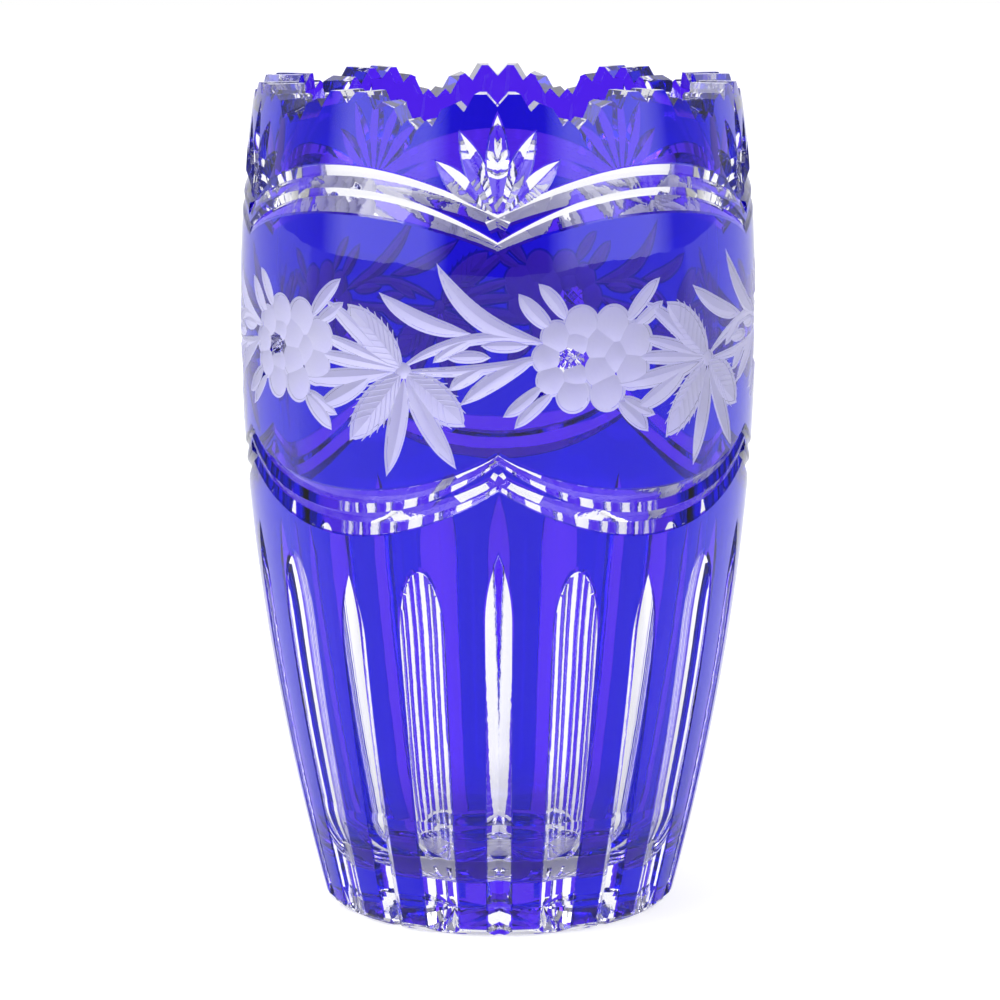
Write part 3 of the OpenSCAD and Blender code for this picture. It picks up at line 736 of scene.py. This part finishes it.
def part_of(name, mesh, faces):
    """A new linked object made of some of the casing's faces."""
    v, corners, start, count, index = mesh_arrays(mesh)
    used = {}
    rows = []
    for f in faces:
        rows.append([used.setdefault(c, len(used)) for c in corners[start[f]:start[f] + count[f]]])
    o = mesh_object(name, [v[c] for c in used], rows, CASE_MATS, [int(index[f]) for f in faces])
    scene.collection.objects.link(o)
    return o


def set_case_materials(mesh):
    """Puts the cut casing's materials back in the order of CASE_MATS."""
    place = {material.name: k for k, material in enumerate(CASE_MATS)}
    place[polished.name] = OUTSIDE
    place[under.name] = BOND
    order = np.array([place[material.name] for material in mesh.materials])
    index = mesh_arrays(mesh)[4]
    mesh.polygons.foreach_set("material_index", order[index])


def part_casing(mesh):
    """Sorts the casing's islands by field, leaving out the crumbs between cuts."""
    v, corners, start, count, index = mesh_arrays(mesh)
    label = islands(mesh)
    face_label = label[corners[start]]
    field = field_of(v)
    crumb, near_cusp = 0.8, 3.5             # a volume and an angle
    groups = {}
    for island in np.unique(face_label):
        points = np.nonzero(label == island)[0]
        faces = np.nonzero(face_label == island)[0]
        k = int(np.bincount(field[points], minlength=FIELDS).argmax())
        angle = math.degrees(math.atan2(v[points, 0].mean(), -v[points, 1].mean())) % 360
        off_cusp = abs((angle + HALF) % PANEL - HALF)
        kite = k in (UPPER_KITE, LOWER_KITE)
        if volume(v, corners, start, count, faces) < crumb or (kite and off_cusp > near_cusp):
            continue
        key = {COLLAR: "cobalt_collar", SKIRT: "cobalt_skirt"}.get(k, "cobalt_band")
        if kite:
            row = "upper" if k == UPPER_KITE else "lower"
            key = "%s_lozenge_%d" % (row, int(round(angle / PANEL)) % PANELS + 1)
        groups.setdefault(key, []).append(faces)
    return {key: part_of(key + "_glass", mesh, np.concatenate(parts))
            for key, parts in sorted(groups.items())}


set_case_materials(casing.data)
pieces = part_casing(casing.data)
bpy.data.objects.remove(casing)


# ---------------------------------------------------------------- shading and place
def smooth(o, is_casing):
    """Smooth shading, with the true normals of the turned surfaces."""
    sharp, near = 24, 0.01
    mesh = o.data
    mesh.shade_smooth()
    mesh.set_sharp_from_angle(angle=sharp * D2R)
    v, corners, start, count, index = mesh_arrays(mesh)
    normals = np.empty(len(mesh.loops) * 3)
    mesh.corner_normals.foreach_get("vector", normals)
    normals = normals.reshape(-1, 3)
    corner_index = np.repeat(index, count)
    p = v[corners]
    z = p[:, 2]
    r = np.maximum(np.hypot(p[:, 0], p[:, 1]), 1e-6)
    s = np.array([slope(height) for height in z])
    q = np.sqrt(1 + s * s)
    turned = np.stack([p[:, 0] / r / q, p[:, 1] / r / q, -s / q], axis=1)
    outside, bonded = corner_index == OUTSIDE, corner_index == BOND
    if is_casing:
        normals[outside] = turned[outside]
        normals[bonded] = -turned[bonded]
    else:
        normals[bonded] = turned[bonded]
        inner_r = np.array([outer_r(height) for height in z]) - WALL
        low, high = np.minimum.reduceat(z, start), np.maximum.reduceat(z, start)
        on_wall = outside & (np.abs(r - inner_r) < 2 * near)
        on_wall &= (np.repeat(low, count) > INSIDE_TURN_Z - near) & (z < HEIGHT - near)
        on_wall &= np.repeat(high - low, count) >= near
        normals[on_wall] = -turned[on_wall]
    mesh.normals_split_custom_set(normals)


smooth(body, False)
for o in pieces.values():
    smooth(o, True)
for o in [body] + list(pieces.values()):
    o.data.transform(Matrix.Scale(UNIT, 4))

# the middle of the cut body goes to the middle of its CAD node
spans = [[p.co[axis] for p in body.data.vertices] for axis in (0, 1)]
here_x, here_y = [(min(span) + max(span)) / 2 for span in spans]
there = (body_lo + body_hi) / 2
for o in [body] + list(pieces.values()):
    o.data.transform(move(there.x - here_x, there.y - here_y, body_lo.z))

BAND_NODES = ["cobalt_band_upper", "cobalt_band_lower"]
BAND_NODES += ["garland_islets_%d" % k for k in range(1, PANELS + 1)]
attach(body, "root")
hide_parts("crystal_body")
for key, o in pieces.items():
    nodes = BAND_NODES if key == "cobalt_band" else [key]
    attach(o, "root")
    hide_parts(*nodes)


# ---------------------------------------------------------------- floor
def floor_material():
    """Pale paper. The lens sees it bright all over, and the glass sees a painted pool of light on it
    behind the vase, an emission that grows towards the back.
    """
    material = principled("floor_paper", (400.0, 0.02, 0.0002, 3.0),
                          Base_Color=(0.50, 0.50, 0.51, 1), Roughness=0.9)
    tree = material.node_tree
    paper = tree.nodes["Principled BSDF"]
    place = add_node(tree, "TexCoord")
    axes = add_node(tree, "SeparateXYZ")
    # painted light: for rays other than the lens's, the floor glows from none 10 cm in front of the
    # middle to 0.45 at 10 cm behind it
    painted_glow_strength = add_node(tree, "MapRange", From_Min=-0.10, From_Max=0.10, To_Min=0.0, To_Max=0.45)
    painted_back_glow = add_node(tree, "Emission")
    even_glow = add_node(tree, "Emission", Strength=0.62)
    for_glass = add_node(tree, "AddShader")
    for_lens = add_node(tree, "AddShader")
    pick = add_node(tree, "MixShader")
    ray = add_node(tree, "LightPath")
    for start, end in (
        (place.outputs["Object"], axes.inputs[0]),
        (axes.outputs["Y"], painted_glow_strength.inputs["Value"]),
        (painted_glow_strength.outputs[0], painted_back_glow.inputs["Strength"]),
        (paper.outputs[0], for_glass.inputs[0]),
        (painted_back_glow.outputs[0], for_glass.inputs[1]),
        (paper.outputs[0], for_lens.inputs[0]),
        (even_glow.outputs[0], for_lens.inputs[1]),
        (ray.outputs["Is Camera Ray"], pick.inputs[0]),
        (for_glass.outputs[0], pick.inputs[1]),
        (for_lens.outputs[0], pick.inputs[2]),
        (pick.outputs[0], tree.nodes["Material Output"].inputs["Surface"]),
    ):
        tree.links.new(start, end)
    return material


reach, sink = 6, -0.0002                    # metres
corners = [(-reach, -reach, sink), (reach, -reach, sink), (reach, reach, sink), (-reach, reach, sink)]
floor = mesh_object("floor", corners, [(0, 1, 2, 3)], [floor_material()])
scene.collection.objects.link(floor)

# ---------------------------------------------------------------- studio light
# (place, brightness) round the vase: place 0 is in front of it and 1 is behind it
LIGHT_RING = ((0.0, 0.14), (0.12, 0.18), (0.18, 2.1), (0.40, 2.3),
              (0.47, 0.35), (0.60, 0.45), (0.70, 1.08), (1.0, 1.08))


def studio_world():
    """Light by direction round the vase, behind a plain white background."""
    world = bpy.data.worlds.new("studio")
    scene.world = world
    world.use_nodes = True
    tree = world.node_tree
    direction = add_node(tree, "TexCoord")
    axes = add_node(tree, "SeparateXYZ")
    sideways = add_node(tree, "Math", "ABSOLUTE")
    forward = add_node(tree, "Math", "MULTIPLY")
    forward.inputs[1].default_value = -1.0
    angle = add_node(tree, "Math", "ARCTAN2")
    place = add_node(tree, "Math", "DIVIDE")
    place.inputs[1].default_value = math.pi
    ramp = add_node(tree, "ValToRGB")
    stops = ramp.color_ramp.elements
    while len(stops) < len(LIGHT_RING):
        stops.new(0.5)
    for stop, (position, brightness) in zip(stops, LIGHT_RING):
        stop.position = position
    for stop, (position, brightness) in zip(sorted(stops, key=lambda e: e.position), LIGHT_RING):
        stop.color = (brightness, brightness, brightness * 1.01, 1)
    ray = add_node(tree, "LightPath")
    mix = add_node(tree, "Mix")
    mix.data_type = "RGBA"
    mix.inputs["B"].default_value = WHITE
    for start, end in (
        (direction.outputs["Generated"], axes.inputs[0]),
        (axes.outputs["X"], sideways.inputs[0]),
        (axes.outputs["Y"], forward.inputs[0]),
        (sideways.outputs[0], angle.inputs[0]),
        (forward.outputs[0], angle.inputs[1]),
        (angle.outputs[0], place.inputs[0]),
        (place.outputs[0], ramp.inputs["Fac"]),
        (ramp.outputs["Color"], mix.inputs["A"]),
        (ray.outputs["Is Camera Ray"], mix.inputs["Factor"]),
        (mix.outputs["Result"], tree.nodes["Background"].inputs["Color"]),
    ):
        tree.links.new(start, end)


def softbox(name, azimuth, elevation, distance, power):
    """A soft light aimed a little above the vase's middle."""
    aim = Vector((0, 0, 0.56 * TALL))
    light = bpy.data.lights.new(name, "AREA")
    light.shape = "RECTANGLE"
    light.size, light.size_y = 0.6, 0.9
    light.energy = power
    o = bpy.data.objects.new(name, light)
    a, e = azimuth * D2R, elevation * D2R
    away = Vector((math.sin(a) * math.cos(e), -math.cos(a) * math.cos(e), math.sin(e)))
    o.location = aim + away * distance
    o.rotation_euler = (-away).to_track_quat("-Z", "Y").to_euler()
    scene.collection.objects.link(o)


studio_world()
softbox("softbox_left", -60, 50, 1.5, 9)
softbox("softbox_right", 54, 45, 1.7, 2)

# ---------------------------------------------------------------- camera
CAMERA_AT = Vector((0.00344, -4.3152, 1.2808))      # in heights of the vase
CAMERA_DOWN, CAMERA_ROLL = 10.42, 0.12
lens = bpy.data.cameras.new("camera")
lens.sensor_width = 36
lens.lens = 129.5
lens.clip_start = 0.05
camera = bpy.data.objects.new("camera", lens)
camera.location = CAMERA_AT * TALL
camera.rotation_euler = ((90 - CAMERA_DOWN) * D2R, CAMERA_ROLL * D2R, 0)
scene.collection.objects.link(camera)
scene.camera = camera

scene.view_settings.view_transform = "Standard"
scene.cycles.use_denoising = True
scene.cycles.max_bounces = 32
scene.cycles.transmission_bounces = 32
scene.cycles.glossy_bounces = 12
scene.cycles.diffuse_bounces = 3
scene.cycles.caustics_refractive = True
scene.cycles.caustics_reflective = False
scene.cycles.blur_glossy = 0.5
